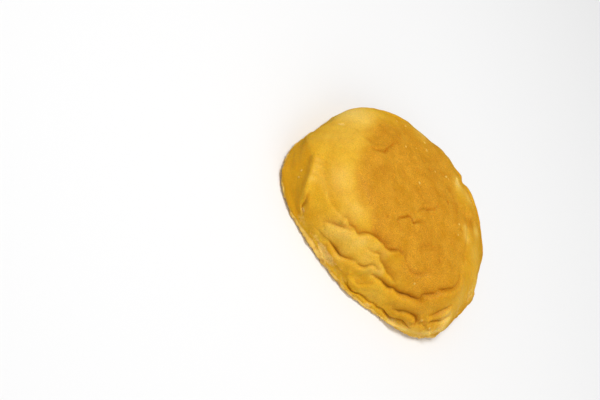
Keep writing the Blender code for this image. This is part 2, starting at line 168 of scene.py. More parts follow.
# Lumps and hollows: angle in degrees, skin distance, half length, half width and height in mm, and
# the lean of their length from straight round the rim, in degrees
LUMPS = (
    # a flake under the lowest fold, and one at the foot
    (-28, 53.5, 5.0, 1.5, 1.2, 20),
    (-96, 56, 2.2, 1.6, 1.2, 0),
    # the knob and the finger-shaped roll beside the long fold
    (-99, 37, 1.3, 1.2, 1.0, 0),
    (-95, 40, 5.0, 2.0, 0.7, 37),
    # the hollow beside the V-shaped crease, and two small bumps at its far end
    (-66, 42.5, 2.6, 2.0, -1.1, 30),
    (-72, 44, 0.8, 0.8, 0.5, 0),
    (-70, 45.5, 0.8, 0.8, 0.5, 0),
    # pits and crumbs at the lower corner
    (-16, 44, 1.0, 1.0, -0.7, 0),
    (-14, 42, 1.2, 0.8, 0.6, 0),
    (-18, 42, 1.0, 0.9, 0.7, 0),
    (-11, 44, 0.9, 0.9, 0.7, 0),
    (-8, 48, 0.8, 3.5, 0.7, 0),
    # the shoulder above the ridge: a dip, a short ridge each side, a bump
    (-126, 37, 5.0, 1.2, -0.6, 0),
    (-140, 38, 3.5, 2.5, -0.4, 0),
    (-112, 38, 2.6, 1.0, 0.4, -5),
    (-126, 31, 8.0, 3.0, 0.25, 0),
    (-105, 32, 4.0, 2.0, 0.4, 27),
    # the far side of the top: two ridges and two dips
    (49, 24, 4.0, 1.0, 0.4, -3),
    (74, 26, 1.5, 7.0, 0.4, 0),
    (66, 26, 1.2, 4.5, -0.4, 0),
    (58, 29, 2.0, 1.0, -0.3, 0),
    # a notch in the far rim
    (91, 39, 1.8, 6.0, -1.5, 0),
    (98, 39, 3.5, 6.0, -1.0, 0),
    (82, 40, 3.0, 5.0, 0.5, 0),
    # the hollow low on the side, and the side's bulge above it and below it
    (9, 50, 4.0, 5.0, -1.6, 0),
    (26, 43.5, 4.0, 3.5, 1.2, 0),
    (-1, 55, 3.0, 3.5, 1.0, 0),
    # the low ground beside the folds over the foot
    (-38, 43.5, 2.2, 1.2, -0.7, 40),
)

# Small pits, which get painted shade as the creases do: angle in degrees, skin distance, radius and depth in
# mm
PITS = (
    (77, 16, 0.6, 0.7), (-9, 21, 0.5, 0.6), (179, 13, 0.7, 0.3), (-92, 21.5, 0.7, 0.3), (136, 36, 0.9, 0.4),
    (124, 19.5, 0.9, 0.4), (168, 25, 1.2, 0.3), (162, 27.5, 1.0, 0.3), (-164, 30, 1.6, 0.3),
    (49, 21, 0.6, 0.3), (134, 21.5, 0.8, 0.3), (-131, 11, 0.9, 0.3), (-107, 11.5, 0.8, 0.25),
    (108, 24.5, 0.9, 0.25), (90, 21.5, 0.8, 0.25), (-148, 19.5, 0.9, 0.25),
)

# Broad unevenness of the skin: wavelength and height
SWELLS = ((30.0 * MM, 0.25 * MM), (13.0 * MM, 0.14 * MM), (6.0 * MM, 0.03 * MM))
SWELL_WAVES, SWELL_STRETCH = 14, (0.75, 1.4)

# Leathery wrinkles of the slumped side
WRINKLE_TOWARDS, WRINKLE_SPREAD = -64.0, 48.0  # degrees
WRINKLE_SKIN = (29.0 * MM, 36.0 * MM)  # they come in between these skin distances
WRINKLE_LONG, WRINKLE_WIDE = 9.0 * MM, 3.0 * MM
WRINKLE_BENDS = (0.2, 0.5, 0.0)  # how far they are bent, in shares of their length and width
WRINKLE_SHARP = 0.15  # the noise's value at which they have fallen to 1 / e
WRINKLE_DEPTH = 0.12 * MM
WRINKLE_SHADE = 0.5  # how much painted shade a wrinkle gets, as a crease does

# Pebbled skin: wavelength, height and seed of each noise
PEBBLES = ((2.6 * MM, 0.09 * MM, 41), (1.2 * MM, 0.05 * MM, 42))

# Skin distance at which the crust is torn off, at angles in degrees
TORN_AT = (
    (-180, 55), (-140, 56), (-118, 57), (-108, 56.5), (-102, 54.5), (-96, 53), (-90, 54), (-84, 54.5),
    (-78, 55), (-70, 54.5), (-62, 55.5), (-46, 55.5), (-30, 56.5), (-14, 55), (4, 53), (20, 55), (60, 56),
    (100, 54), (140, 56),
)
TORN_RAGGED = ((6.0 * MM, 1.3 * MM, 31), (1.8 * MM, 0.78 * MM, 32))  # written as the pebbles
TORN_PALES = (1.8 * MM, 0.2 * MM)  # it turns pale between these distances from there
EDGE_THINS = 1.6 * MM  # over this distance the crust thins out to its torn edge
EDGE_SINKS = 0.5 * MM  # and it has sunk into the crumb by this much there
# The lip, and the rings that carry on under it: how far each lies down the skin and how deep under it, as
# shares of the lip's thickness. The last ring is drawn in to a share and lifted, inside the crumb.
LIP_THICK = 0.7 * MM
LIP_RINGS = ((0.35, 0.3), (0.2, 1.0))
LAST_RING = (0.93, 0.8 * MM)

# Skin distance at which the browning of the top ends, at angles in degrees, how softly it does in mm,
# and how brown the side beyond it is
BROWN_AT = (
    (-176, 34), (-160, 31), (-146, 29), (-133, 27), (-110, 28), (-96, 29), (-81, 31), (-70, 30), (-64, 29),
    (-56, 31), (-48, 34), (-40, 36), (-22, 38), (-10, 34), (5, 31), (14, 29), (30, 27), (50, 22), (66, 21),
    (79, 23), (88, 24), (96, 31), (104, 35), (120, 37), (136, 37), (160, 35),
)
BROWN_SOFT = ((-176, 4), (-100, 4), (-80, 1), (-64, 2), (-54, 5), (-30, 6), (30, 4), (66, 2), (100, 4))
SIDE_BROWN = (
    (-176, 0), (-60, 0), (-46, 0.1), (-36, 0.3), (-20, 0.65), (0, 0.6), (20, 0.6), (40, 0.5), (60, 0.65),
    (80, 0.5), (96, 0.55), (110, 0.7), (140, 0.6), (165, 0.1),
)
BROWN_WAVERS = ((9.0 * MM, 2.0 * MM, 51), (3.0 * MM, 1.1 * MM, 52))  # written as the pebbles
# The facet's darker olive colour: how its edge wavers, and its edge and ends, written as the facet's
PRESSED_WAVERS = ((3.0 * MM, 0.3 * MM, 53),)
PRESSED_EDGE, PRESSED_ENDS = (-0.2 * MM, 0.6 * MM), (1.1, 1.4)
# Patches that are browner than the rest, a few of them painted shade under the ragged fold's flap and beside
# the ridge: angle in degrees, skin distance and radius in mm, amount
BROWN_AND_SHADE_PATCHES = (
    (175, 28, 6, 0.4), (-106, 43, 5, 0.4), (-76, 44, 4, 0.4), (60, 28, 4, 0.3), (-144, 18, 3, 0.5),
    (-20, 15, 6, 0.4), (120, 20, 5, 0.4), (-36, 43, 3, 0.3), (100, 8, 6, 0.3), (62, 25, 4, 0.5),
    (90, 22, 1.2, 0.5), (83, 21.5, 1.2, 0.6), (76, 21, 1.2, 0.6), (68, 19.5, 1.2, 0.5), (60, 28, 1.6, 0.4),
    (-124, 36, 3, 0.4), (-116, 35, 3, 0.4), (-63, 52.5, 1.6, 0.9), (-91, 45.5, 1.2, 0.9), (-64, 43, 2.6, 0.3),
    (-130, 39.2, 1.4, 0.3),
)
# Paler patches, written as the browner ones; some are paler skin, and some are painted highlights, on the
# crests of the long fold's roll and of the ridge, on the shoulder and on the flake at the foot
PALE_AND_HIGHLIGHT_PATCHES = (
    (-152, 36, 8, 0.25), (-177, 42, 8, 0.8), (-122, 33, 5, 0.2), (-97, 40, 4, 0.5), (-85, 38, 4, 0.4),
    (-103, 32, 4, 0.4), (-92, 38.5, 2, 0.3), (-84, 35.5, 2, 0.35), (-76, 33, 2, 0.3), (-68, 32.5, 2, 0.3),
    (-74, 37.5, 3, 0.3), (-66, 38, 3, 0.3), (-50, 46, 5, 0.2), (54, 24, 2, 0.7), (45, 24.5, 2, 0.6),
    (30, 40, 6, 0.4), (57, 31, 2.6, 0.7), (-127, 30, 5, 0.2), (-30, 52, 2.5, 0.5), (-18, 50, 5, 0.7),
    (-8, 50, 4, 0.7), (80, 34, 3, 0.5), (92, 30, 3.5, 0.7), (-31, 54, 3, 0.9), (-24, 52.5, 3, 0.9),
    (134, 37, 4, 0.6), (-4, 39.5, 3, 0.5), (-131, 38.8, 0.9, 0.3), (-128, 38.8, 0.9, 0.3),
    (-125, 39.5, 0.9, 0.3), (-122, 40.5, 0.9, 0.4), (-1, 41, 2.6, 0.7), (-9, 46.5, 2.4, 0.5), (9, 36, 5, 0.4),
    (42, 32, 4, 0.3), (-60, 38, 1.8, 0.5), (-83, 44, 2.4, 0.3),
)
# Spots where the outer skin has flaked off: angle in degrees, skin distance and radius in mm
SCUFFS = (
    (93, 30.5, 2.4), (-18, 42, 0.6), (-11, 44, 0.7), (-9, 46, 0.7), (-7, 49, 0.8), (-163, 41, 1.2),
    (-110, 47, 1.5), (48, 46, 2.4), (-5, 51.5, 0.9),
)
SCUFF_DEPTH = 0.2 * MM
SCUFF_RAGGED = ((1.6 * MM, 0.45, 55),)
SCUFF_EDGE = (0.45, 0.75)  # a spot comes in between these sums of its bell and the noise
SCUFF_LEAST = 0.1  # value of its bell below which there is no noise
SCUFF_PALE = 0.8  # how far a spot is as pale as the torn edge
# Craggy patches, written as the browner ones
ROUGH_PATCHES = (
    (-14, 43, 4, 2.4), (-8, 48, 4, 1.6), (-107, 50, 5, 1.0), (15, 42, 5, 1.6), (28, 40, 5, 1.4),
    (-95, 49, 4, 1.2), (-86, 50, 4, 1.2), (-76, 52, 4, 1.0), (-60, 54, 4, 0.8),
)
CRAG_SIZE, CRAG_HEIGHT = 1.5 * MM, 0.3 * MM
CRAG_SHADE, CRAG_SHADED_BELOW = 0.6 * MM, -0.5  # their hollows get painted shade, as creases do
# Places where the crust thins out until the crumb shows through, and a few painted highlights on the lower
# flap's border and on the flake at the foot, written as the browner patches
BARE_AND_LIT_PATCHES = (
    (-107, 51, 5, 0.35), (-97, 49, 3, 0.45), (-90, 49.5, 2.8, 1.2), (-84, 50, 3, 1.2), (-76, 51, 3, 0.3),
    (-70, 51.5, 3, 0.3), (-48, 54.5, 2.5, 0.6), (-84, 46.6, 0.8, 0.6), (-80, 46.8, 0.8, 0.6),
    (-76, 46.6, 0.8, 0.6), (22, 40, 5, 0.4), (8, 41, 4, 0.35), (-3, 45, 4, 0.6), (-12, 50, 4, 0.5),
    (-29, 53.5, 2.5, 0.7),
)
BARE_RAGGED = ((1.4 * MM, 0.2, 56),)
BARE_EDGE = (0.2, 0.7)  # written as the spots'

# The crumb: how far it reaches up behind the crust, and where and how far it draws back there
CRUMB_OVERLAP = 3.0 * MM
CRUMB_HIDDEN = (0.6 * MM, 2.6 * MM)  # between these distances behind the torn edge
CRUMB_DRAWN_BACK = 1.2 * MM
CRUMB_RING = (0.9, 0.3 * MM)  # its last ring is drawn in and lifted as the crust's is
RELIEF_STARTS = (1.0 * MM, 6.0 * MM)  # the folds come in between these distances above the foot
FOOT_RISES = 5.0 * MM  # the foot's pores come in over this distance from its edge
COARSE_PORES = (2.6 * MM, 61, 0.3)  # size, seed and share of the places that have one
FINE_PORES = (1.1 * MM, 62, 0.6)
SIDE_PORES = (0.5 * MM, 0.25 * MM)  # depth of the coarse and the fine ones at the side
FOOT_PORES = (0.6 * MM, 0.3 * MM)
FINE_PORE_SHADE = 0.6  # how dark a fine pore's painted shade is beside a coarse one's
CRUMB_CRAGS, CRUMB_GRAINS = ((3.0 * MM, 0.5 * MM, 63),), ((1.2 * MM, 0.25 * MM, 64),)
CRAGS_SQUEEZED = (1.0, 1.0, 1.6)

# Pale specks on the crust: an angle in degrees, a skin distance and a radius in mm each, and more at random
SPECKS = (
    (141, 10, 0.65), (102, 25, 0.65), (155, 37, 0.45), (149, 36, 0.5), (158, 24, 0.4), (130, 29, 0.5),
    (132, 33, 0.4), (115, 21, 0.4), (40, 20, 0.45), (53, 20, 0.45), (-33, 34, 0.4), (-127, 43.5, 0.45),
    (-124, 44.5, 0.5),
)
MORE_SPECKS, MORE_SPECKS_WITHIN, SPECK_SEED = 10, 50.0 * MM, 7
SPECK_RADIUS, SPECK_STRETCH = (0.2 * MM, 0.4 * MM), (0.7, 1.3)  # at random between these
SPECK_SQUASHED, SPECK_LUMPY = (1.0, 1.0, 0.4), 0.35
SPECK_ROUND, SPECK_RINGS = 8, 4  # points round a speck, and rings of them between its two ends

LATTICE = (32, 32, 32)  # cubes each way, after which a noise repeats
NOISE_GAIN = 1.6
NORMAL_STEP = 0.4 * MM  # slopes are measured over this distance to either side
CRUST_CELLS, CRUMB_CELLS = 304, 300  # cells along a side of each piece's square grid
CENTRE_STRETCH = 1.35  # the crust's rows are this much wider apart at the middle, and closer at the rim
SHELL_MIDDLE = (0.0, 0.0, 6.0 * MM)  # the point inside the rusk where both shells close

# Colours, as sRGB triples; a pair is a darker and a paler one that the mottling mixes
GOLDEN = ((211, 152, 16), (229, 180, 44))
TOASTED = ((186, 123, 14), (217, 157, 40))
OLIVE = ((210, 150, 16), (215, 156, 22))
# the pale skin colour also serves for the painted highlights
DARKEST_BROWN, PALE_SKIN_AND_HIGHLIGHT = (178, 111, 5), (236, 198, 96)
# painted shade in creases
SHALLOW_CREASE_SHADE, DEEP_CREASE_SHADE = (184, 114, 10), (152, 83, 4)
TORN_FLAKES_AND_HIGHLIGHT = (240, 199, 108)
DRY_CRUMB = ((218, 170, 70), (236, 196, 98))
PORE_SHADE_BROWN = (198, 138, 54)
SPECKLE = (0.56, 1.44)  # the fine grain multiplies the crust's colour by a value between these
SPECKLE_LEAST = 0.58  # how strongly it does where the crust is palest


def smooth_step(low, high, value):
    """0 below low, 1 above high, and a smooth rise between them: 3s^2 - 2s^3."""
    share = np.clip((value - low) / (high - low), 0.0, 1.0)
    return share * share * (3.0 - 2.0 * share)


def bell(value, spread):
    """exp(-(value / spread)^2): 1 at 0, falling away smoothly on both sides."""
    return np.exp(-((value / spread) ** 2))


def turn_between(angle, towards_deg):
    """The angle from a direction, between minus and plus half a turn."""
    return (angle - np.radians(towards_deg) + np.pi) % (2 * np.pi) - np.pi


def waves_round(angle, waves):
    """Sum of depth * cos(lobes * (angle - crest))."""
    return sum(depth * np.cos(lobes * turn_between(angle, crest)) for lobes, depth, crest in waves)


def unit(vectors):
    """Vectors brought to length 1."""
    return vectors / np.linalg.norm(vectors, axis=-1, keepdims=True)


def slope_noise(point, size, seed):
    """Smooth noise, about -1 to 1: a random slope at each corner of a lattice of cubes, blended between."""
    slopes = unit(np.random.default_rng(seed).normal(size=(*LATTICE, 3)))
    place = point / size
    cube = np.floor(place).astype(int)
    inside = place - cube
    ease = inside**3 * (inside * (inside * 6 - 15) + 10)
    total = np.zeros(len(point))
    for corner in np.ndindex(2, 2, 2):
        slope = slopes[tuple(((cube + corner) % LATTICE).T)]
        weight = np.prod(np.where(corner, ease, 1 - ease), axis=-1)
        total += weight * ((inside - corner) * slope).sum(axis=-1)
    return NOISE_GAIN * total


def layered_noise(point, layers):
    """Sum of height * noise over layers, each a wavelength, a height and a seed."""
    return sum(height * slope_noise(point, size, seed) for size, height, seed in layers)


def pit_depth(point, size, seed, kept):
    """Round pits, 0 to 1 deep: one bowl 1 - (distance / radius)^2 in a share of the cubes of a lattice."""
    draw = np.random.default_rng(seed)
    middle = draw.uniform(0.1, 0.9, (*LATTICE, 3))
    radius = draw.uniform(0.3, 0.62, LATTICE) * (draw.uniform(size=LATTICE) < kept)
    place = point / size
    cube = np.floor(place).astype(int)
    deepest = np.zeros(len(point))
    for step in np.ndindex(3, 3, 3):
        near = cube + np.array(step) - 1
        cell = tuple((near % LATTICE).T)
        distance = np.linalg.norm(near + middle[cell] - place, axis=-1)
        bowl = 1 - (distance / np.maximum(radius[cell], 1e-6)) ** 2
        deepest = np.maximum(deepest, bowl)
    return deepest


def profile_table():
    """The turned form's radius and height along the skin: superellipse shoulder, elliptic side, flat foot."""
    quarter = np.linspace(0.0, np.pi / 2, PROFILE_POINTS)
    across, up = np.sin(quarter), np.cos(quarter)
    norm = (across**SHOULDER_POWER + up**SHOULDER_POWER) ** (1 / SHOULDER_POWER)
    upper = RADIUS * across / norm, WIDEST_AT + (HEIGHT - WIDEST_AT) * up / norm
    lower = RADIUS - FOOT_TUCK * (1 - np.cos(quarter)), WIDEST_AT * (1 - np.sin(quarter))
    foot = (RADIUS - FOOT_TUCK) * np.linspace(1.0, 0.0, PROFILE_POINTS), np.zeros(PROFILE_POINTS)
    radius, height = np.hstack([upper, lower, foot])
    along = np.append(0.0, np.cumsum(np.hypot(np.diff(radius), np.diff(height))))
    return along, radius, height


ALONG, TABLE_RADIUS, TABLE_HEIGHT = profile_table()
SKIN_LENGTH = ALONG[-1]
FOOT_STARTS = ALONG[2 * PROFILE_POINTS - 1]


def bun_form(angle, skin):
    """The pressed bun with no folds: the turned form, scaled by the rim's lobes and lowered by the slump."""
    radius = np.interp(skin, ALONG, TABLE_RADIUS)
    height = np.interp(skin, ALONG, TABLE_HEIGHT)
    out = radius / RADIUS
    slumped = 0.5 + 0.5 * np.cos(turn_between(angle, SLUMP_TOWARDS))
    low = 1.0 - smooth_step(0.0, WIDEST_AT, height)
    radius = radius * (1 + waves_round(angle, RIM_WAVES) / RADIUS) + SLUMP_FLARE * slumped * low * out**2
    height = height * (1 - SLUMP * slumped * np.minimum(out, 1.0) ** SLUMP_POWER)
    return np.stack([radius * np.cos(angle), radius * np.sin(angle), height], axis=-1)


def outward(angle, skin):
    """Unit normals of the pressed bun: cross product of its slopes down the side and round the rim."""
    turn = NORMAL_STEP / RADIUS
    skin = np.clip(skin, 2 * NORMAL_STEP, SKIN_LENGTH - 2 * NORMAL_STEP)
    round_rim = bun_form(angle + turn, skin) - bun_form(angle - turn, skin)
    down_side = bun_form(angle, skin + NORMAL_STEP) - bun_form(angle, skin - NORMAL_STEP)
    return unit(np.cross(down_side, round_rim))


def laid_flat(angle, skin):
    """The skin laid out flat: skin distance along the angle."""
    return np.stack([skin * np.cos(angle), skin * np.sin(angle)], axis=-1)


def round_bell(flat, towards, skin, radius):
    """exp(-(gap / radius)^2) about a place at an angle in degrees and a skin distance in mm."""
    return bell(np.linalg.norm(flat - laid_flat(np.radians(towards), skin * MM), axis=-1), radius * MM)


def table_value(angle, table):
    """A value read off a table of angles round the rim, blended between them."""
    degrees, value = np.array(table).T
    return np.interp(np.degrees(angle), degrees, value, period=360)


def table_round(angle, table):
    """A distance read off a table that gives it in mm at angles round the rim."""
    return table_value(angle, table) * MM


def fold_path(fold, seed):
    """A rounded line through a fold's knots on the skin laid out flat, wavering a little. Between two knots:
    the cubic that keeps each knot's slope, half the step from its neighbour to the next."""
    turn, skin = np.array(fold.knots).T
    knot = laid_flat(np.radians(turn), skin * MM)
    slope = np.gradient(knot, axis=0)
    legs = np.hypot(*np.diff(knot, axis=0).T)
    pieces = []
    for i, leg in enumerate(legs):
        s = np.linspace(0, 1, max(2, int(leg / PATH_STEP)), endpoint=False)[:, None]
        pieces.append(knot[i] * (1 - 3 * s**2 + 2 * s**3) + knot[i + 1] * (3 * s**2 - 2 * s**3)
                      + slope[i] * (s - 2 * s**2 + s**3) + slope[i + 1] * (s**3 - s**2))
    path = np.concatenate(pieces + [knot[-1:]])
    at = np.column_stack([path, np.full(len(path), seed * MM)])
    waver = np.stack([slope_noise(at, RAGGED_LENGTH, 11), slope_noise(at, RAGGED_LENGTH, 12)], axis=-1)
    return path + RAGGED * waver


def fold_section(flat, fold, seed):
    """Distance from a fold's line, the side (1 outside, -1 inside), and a fade towards its ends."""
    path = fold_path(fold, seed)
    nearest = np.full(len(flat), np.inf)
    side, share = np.ones(len(flat)), np.zeros(len(flat))
    for i, (corner, leg) in enumerate(zip(path[:-1], np.diff(path, axis=0))):
        offset = flat - corner
        on_leg = np.clip(offset @ leg / (leg @ leg), 0, 1)
        gap = offset - on_leg[:, None] * leg
        distance = np.hypot(gap[:, 0], gap[:, 1])
        closer = distance < nearest
        nearest[closer] = distance[closer]
        share[closer] = (i + on_leg[closer]) / (len(path) - 1)
        side[closer] = np.sign((gap * corner).sum(axis=1))[closer]
    return nearest, side, np.sqrt(np.maximum(np.sin(np.pi * share), 0.0))


def fold_heights(flat, fold, seed):
    """Height of a roll less its crease, and the crease's painted shade, which stays off the flank that faces
    out.
    Crease: depth * exp(-distance / flank), blunted, with a sharp groove in it, steeper outside than inside.
    Roll: (1 - exp(-distance / rise)) * exp(-(distance / reach)^2)."""
    nearest, side, fade = fold_section(flat, fold, seed)
    at = np.column_stack([flat, np.full(len(flat), seed * MM)])
    fade *= 1 + VARIES * slope_noise(at, VARIES_LENGTH, 13)
    flank = np.where(side > 0, fold.outer, fold.inner) * MM
    flank = np.exp(CREASE_BLUNT - np.hypot(nearest / flank, CREASE_BLUNT))
    crease = fold.depth * MM * (flank + GROOVE_SHARE * bell(nearest, GROOVE_WIDTH)) / (1 + GROOVE_SHARE)
    shade = np.where(side > 0, bell(nearest, GROOVE_WIDTH), flank) * fold.depth * MM
    roll = (1 - np.exp(-nearest / ROLL_RISE)) * bell(nearest, fold.reach * MM)
    roll *= fold.roll * MM * np.where(side > 0, 1.0, INNER_SHARE)
    return (roll - crease) * fade, shade * fade


def lump_height(flat, lump):
    """An elliptical bell: height * exp(-(along / length)^2 - (across / width)^2)."""
    towards, skin, length, width, height, lean = lump
    offset = flat - laid_flat(np.radians(towards), skin * MM)
    heading = np.radians(towards + 90 + lean)
    along = offset @ np.array([np.cos(heading), np.sin(heading)])
    across = offset @ np.array([-np.sin(heading), np.cos(heading)])
    return height * MM * bell(along, length * MM) * bell(across, width * MM)


def swell_height(flat, wavelength, height, seed):
    """Soft rise and fall of the skin: a sum of waves in seeded directions."""
    draw = np.random.default_rng(seed)
    total = np.zeros(len(flat))
    for _ in range(SWELL_WAVES):
        heading, phase = draw.uniform(0, 2 * np.pi, 2)
        pace = 2 * np.pi / (wavelength * draw.uniform(*SWELL_STRETCH))
        total += np.cos(pace * (flat[:, 0] * np.cos(heading) + flat[:, 1] * np.sin(heading)) + phase)
    return height * total / np.sqrt(SWELL_WAVES / 2)


def past_facet_edge(angle, skin):
    """How far below the facet's bowed edge a point lies, and its turn from the facet's middle."""
    off_middle = turn_between(angle, FACET_TOWARDS) / np.radians(FACET_HALF_TURN)
    return skin - FACET_TOP - FACET_BOW * np.minimum(off_middle**2, FACET_BOW_MOST), off_middle


def facet_height(angle, skin):
    """The steep flat facet below a bowed edge, and the sharp ridge along part of that edge."""
    past, off_middle = past_facet_edge(angle, skin)
    degrees = FACET_TOWARDS + FACET_HALF_TURN * off_middle
    along = smooth_step(*RIDGE_RISES, degrees) * (1.0 - smooth_step(*RIDGE_SINKS, degrees))
    across = skin - table_round(angle, RIDGE_AT)
    ridge = RIDGE * along * bell(across, np.where(across > 0, RIDGE_OUTER, RIDGE_INNER))
    sunk = FACET_STEP * smooth_step(*FACET_EDGE, past)
    sunk += (1.0 - FACET_STEP) * smooth_step(0.0, FACET_RAMP, past)
    sunk *= 1.0 - smooth_step(*FACET_FADES, skin - FACET_TOP)
    return ridge - FACET_DEPTH * sunk * (1.0 - smooth_step(*FACET_ENDS, np.abs(off_middle)))


def main_relief(angle, skin):
    """Height that the facet, the swells, the folds and the lumps add to the bun, and the painted shade of the
    creases and pits.
    """
    flat = laid_flat(angle, skin)
    height, painted_crease_shade = facet_height(angle, skin), np.zeros(len(flat))
    for seed, (wavelength, depth) in enumerate(SWELLS):
        height += swell_height(flat, wavelength, depth, seed)
    for seed, fold in enumerate(FOLDS):
        fold_height, shade = fold_heights(flat, fold, seed)
        height += fold_height
        painted_crease_shade = np.maximum(painted_crease_shade, shade)
    for lump in LUMPS:
        height += lump_height(flat, lump)
    for towards, out, radius, depth in PITS:
        pit = depth * MM * round_bell(flat, towards, out, radius)
        height -= pit
        painted_crease_shade = np.maximum(painted_crease_shade, 3 * pit)
    return height, painted_crease_shade


def wrinkle_depth(angle, skin):
    """Fine branching wrinkles: thin lines where a noise, stretched along the rim, passes through zero."""
    along = np.stack([angle * RADIUS / WRINKLE_LONG, skin / WRINKLE_WIDE, np.zeros_like(skin)], axis=-1)
    bent = along + slope_noise(along * 0.8 + 7.3, 1.0, 21)[:, None] * WRINKLE_BENDS
    line = np.exp(-np.abs(slope_noise(bent, 1.0, 22)) / WRINKLE_SHARP)
    side = bell(turn_between(angle, WRINKLE_TOWARDS), np.radians(WRINKLE_SPREAD))
    return WRINKLE_DEPTH * line * side * smooth_step(*WRINKLE_SKIN, skin)


def torn_edge(angle):
    """Skin distance at which the crust is torn off: the table round the rim, made ragged by noise."""
    round_rim = np.stack([np.cos(angle), np.sin(angle), np.zeros_like(angle)], axis=-1) * RADIUS
    return table_round(angle, TORN_AT) + layered_noise(round_rim, TORN_RAGGED)


def square_on_disc(cells):
    """A square grid folded onto a disc: reach 0 to 1 and angle, with rings of the square as rings."""
    line = np.linspace(-1.0, 1.0, cells + 1)
    across, up = np.meshgrid(line, line)
    wide = np.abs(across) > np.abs(up)
    reach = np.where(wide, across, up)
    other = np.where(wide, up, across)
    eighth = np.divide(other, reach, out=np.zeros_like(other), where=reach != 0) * np.pi / 4
    angle = np.where(wide, eighth, np.pi / 2 - eighth)
    angle = np.where(reach < 0, angle + np.pi, angle)
    return np.abs(reach), angle


def edge_of_square(cells):
    """Grid indices of the square's edge, once round against the clock."""
    row = np.arange(cells)
    first, last = np.zeros(cells, int), np.full(cells, cells)
    return np.concatenate([first, row, last, cells - row]), np.concatenate([row, last, cells - row, first])


def drawn_in(ring, share, lift):
    """A ring of points drawn in towards the upright axis to a share of its width, and lifted."""
    return ring * (share, share, 1.0) + (0.0, 0.0, lift)


def new_object(name, data):
    """An object at the origin in the scene, from a mesh, a camera or a light."""
    made = bpy.data.objects.new(name, data)
    bpy.context.scene.collection.objects.link(made)
    return made


def new_piece(name, points, faces):
    """A smooth mesh object from points and faces."""
    mesh = bpy.data.meshes.new(name)
    mesh.from_pydata(points.tolist(), [], faces)
    mesh.validate()
    mesh.shade_smooth()
    return new_object(name, mesh)


def closed_shell(name, disc, rings, values):
    """A mesh from a disc grid, rings of points that carry on from its edge, and the middle point that
    closes it. values holds each attribute's number at each disc point, and the rings take the edge's."""
    cells = disc.shape[0] - 1
    index = np.arange((cells + 1) ** 2).reshape(cells + 1, cells + 1)
    a, b, c, d = index[:-1, :-1], index[:-1, 1:], index[1:, 1:], index[1:, :-1]
    quads = [np.stack([a, b, c, d], axis=-1).reshape(-1, 4)]
    rim = before = index[edge_of_square(cells)]
    points, count = [disc.reshape(-1, 3)], index.size
    for ring in rings:
        now = count + np.arange(len(before))
        quads.append(np.stack([before, now, np.roll(now, -1), np.roll(before, -1)], axis=-1))
        points.append(ring)
        before, count = now, count + len(ring)
    points.append(np.reshape(SHELL_MIDDLE, (1, 3)))
    fan = np.stack([before, np.full(len(before), count), np.roll(before, -1)], axis=-1)
    quads = np.concatenate(quads)
    piece = new_piece(name, np.concatenate(points), quads.tolist() + fan.tolist())
    for key, value in values.items():
        value = value.ravel()
        full = np.concatenate([value, np.tile(value[rim], len(rings)), value[rim[-1:]]])
        piece.data.attributes.new(key, "FLOAT", "POINT").data.foreach_set("value", full.astype(np.float32))
    return piece


def patches_of(angle, skin, patches):
    """Sum of round bells, each 1 at its middle, times its amount."""
    flat = laid_flat(angle, skin)
    return sum(amount * round_bell(flat, *place) for *place, amount in patches)


def scuffed_share(angle, skin, form):
    """Ragged-edged spots: a smooth step of a round bell and a noise together."""
    spots = patches_of(angle, skin, [(*scuff, 1.0) for scuff in SCUFFS])
    return smooth_step(*SCUFF_EDGE, spots + layered_noise(form, SCUFF_RAGGED) * (spots > SCUFF_LEAST))


def crust_point(angle, skin):
    """A point of the crust, the painted shade of the creases, wrinkles and crag hollows that it lies in, and
    how far it is scuffed.
    """
    height, crease = main_relief(angle, skin)
    wrinkle = wrinkle_depth(angle, skin)
    form = bun_form(angle, skin)
    scuffed = scuffed_share(angle, skin, form)
    pebble = layered_noise(form, PEBBLES) * (1 + scuffed) - SCUFF_DEPTH * scuffed
    crags = patches_of(angle, skin, ROUGH_PATCHES) * slope_noise(form, CRAG_SIZE, 43)
    pebble += CRAG_HEIGHT * crags
    pebble -= EDGE_SINKS * smooth_step(EDGE_THINS, 0.0, torn_edge(angle) - skin)
    point = form + outward(angle, skin) * (height - wrinkle + pebble)[:, None]
    crease += WRINKLE_SHADE * wrinkle + CRAG_SHADE * np.maximum(CRAG_SHADED_BELOW - crags, 0)
    return point, crease, scuffed


def brown_and_shade_share(angle, skin, point):
    """How brown the crust is: 1 on the flat top, falling over the shoulder along an uneven edge to the
    side's own share, and up to 2 in the darkest patches, a few of which are painted shade."""
    edge = table_round(angle, BROWN_AT) + layered_noise(point, BROWN_WAVERS)
    top = 1.0 - smooth_step(-1.0, 1.0, (skin - edge) / table_round(angle, BROWN_SOFT))
    side = table_value(angle, SIDE_BROWN)
    return side + (1 - side) * top + patches_of(angle, skin, BROWN_AND_SHADE_PATCHES)


def pressed_share(angle, skin, point):
    """1 on the facet and 0 off it, along an edge that wavers a little."""
    past, off_middle = past_facet_edge(angle, skin)
    past += layered_noise(point, PRESSED_WAVERS)
    return smooth_step(*PRESSED_EDGE, past) * (1.0 - smooth_step(*PRESSED_ENDS, np.abs(off_middle)))


